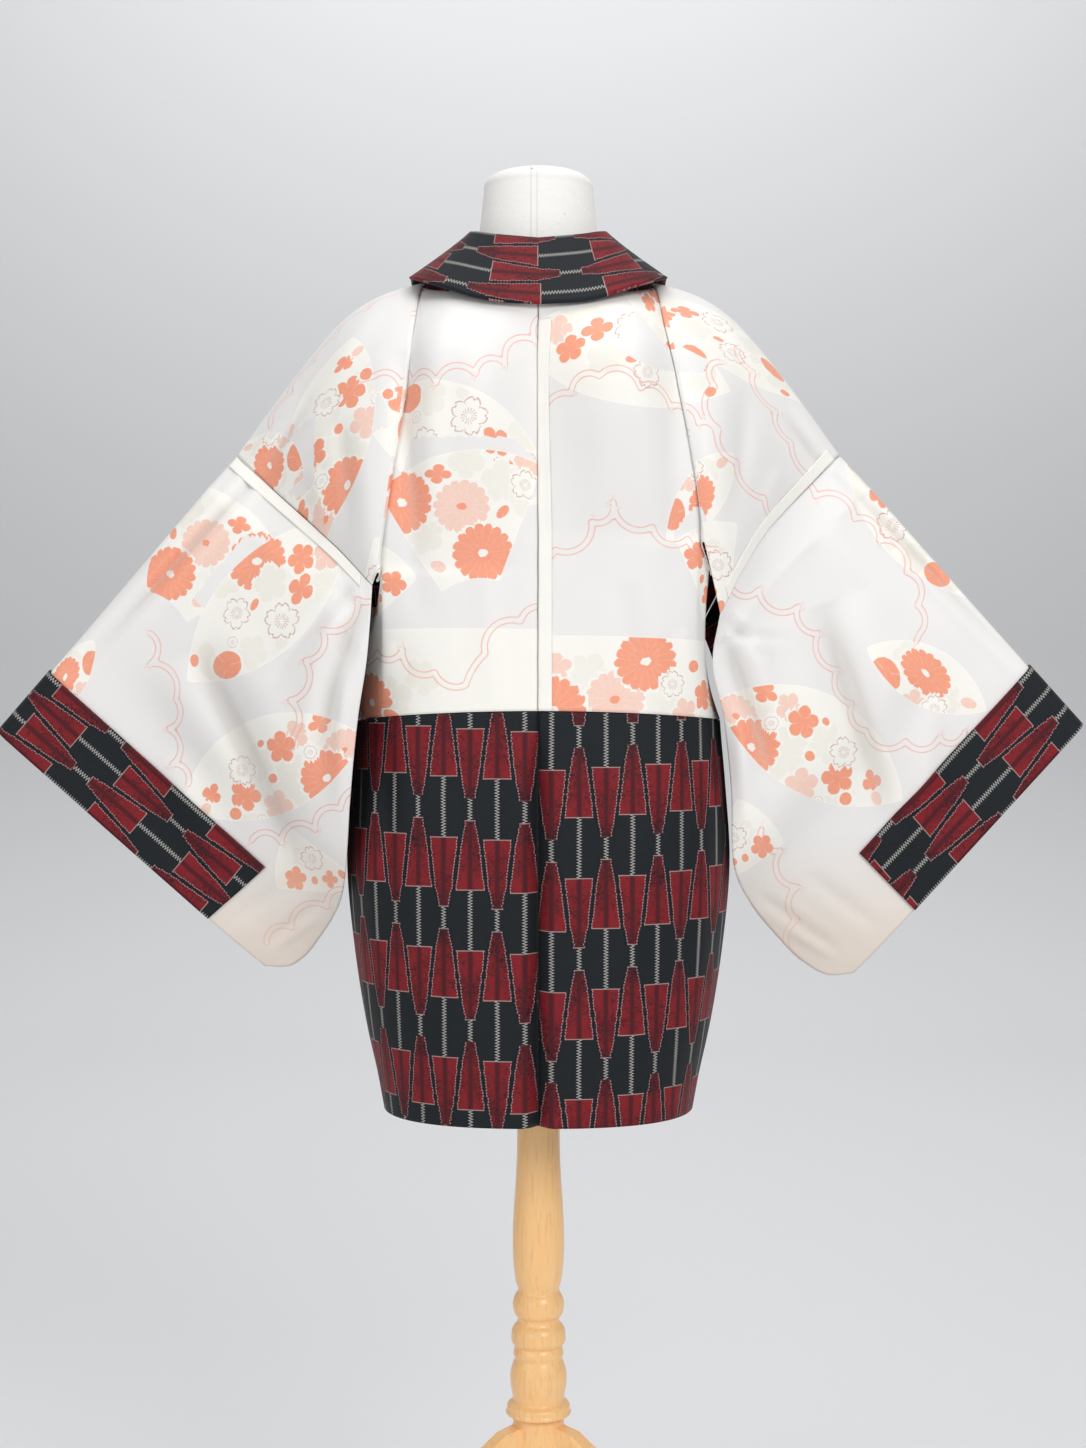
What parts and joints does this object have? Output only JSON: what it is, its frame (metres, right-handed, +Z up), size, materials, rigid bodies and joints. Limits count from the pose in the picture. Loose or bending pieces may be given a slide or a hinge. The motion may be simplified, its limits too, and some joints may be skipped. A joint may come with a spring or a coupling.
{
  "type": "haori jacket on a limbless dress form with a stand",
  "caption": "Short wide-sleeved kimono jacket shown inside out on a limbless dress form with a turned wooden tripod stand.",
  "frame": {"origin": "on the floor, at the middle of the box around the whole object", "axes": "+Z up; the garment's back faces -Y; +X is to the right of someone who looks at the garment's back"},
  "size_m": [1.0304, 0.467, 1.504],
  "materials": {
    "lining": "satin woven silk, printed with chrysanthemums and clouds",
    "outer": "matt woven silk, dark ground with deep red figures",
    "form": "plain canvas cover",
    "wood": "turned, clear satin varnish"
  },
  "bodies": {
    "root": {"back_hem_left": "outer", "back_hem_right": "outer", "body_lining_left": "lining", "body_lining_right": "lining", "collar": "outer", "cuff_band_left": "outer", "cuff_band_right": "outer", "form_torso": "form", "front_hem_left": "outer", "front_hem_right": "outer", "gusset_left": "outer", "gusset_right": "outer", "seam_allowance_armhole_left": "lining", "seam_allowance_armhole_right": "lining", "seam_allowance_back": "lining", "sleeve_left": "lining", "sleeve_right": "lining", "stand_column": "wood", "stand_hub": "wood", "stand_leg_front": "wood", "stand_leg_left": "wood", "stand_leg_right": "wood"}
  },
  "joints": []
}
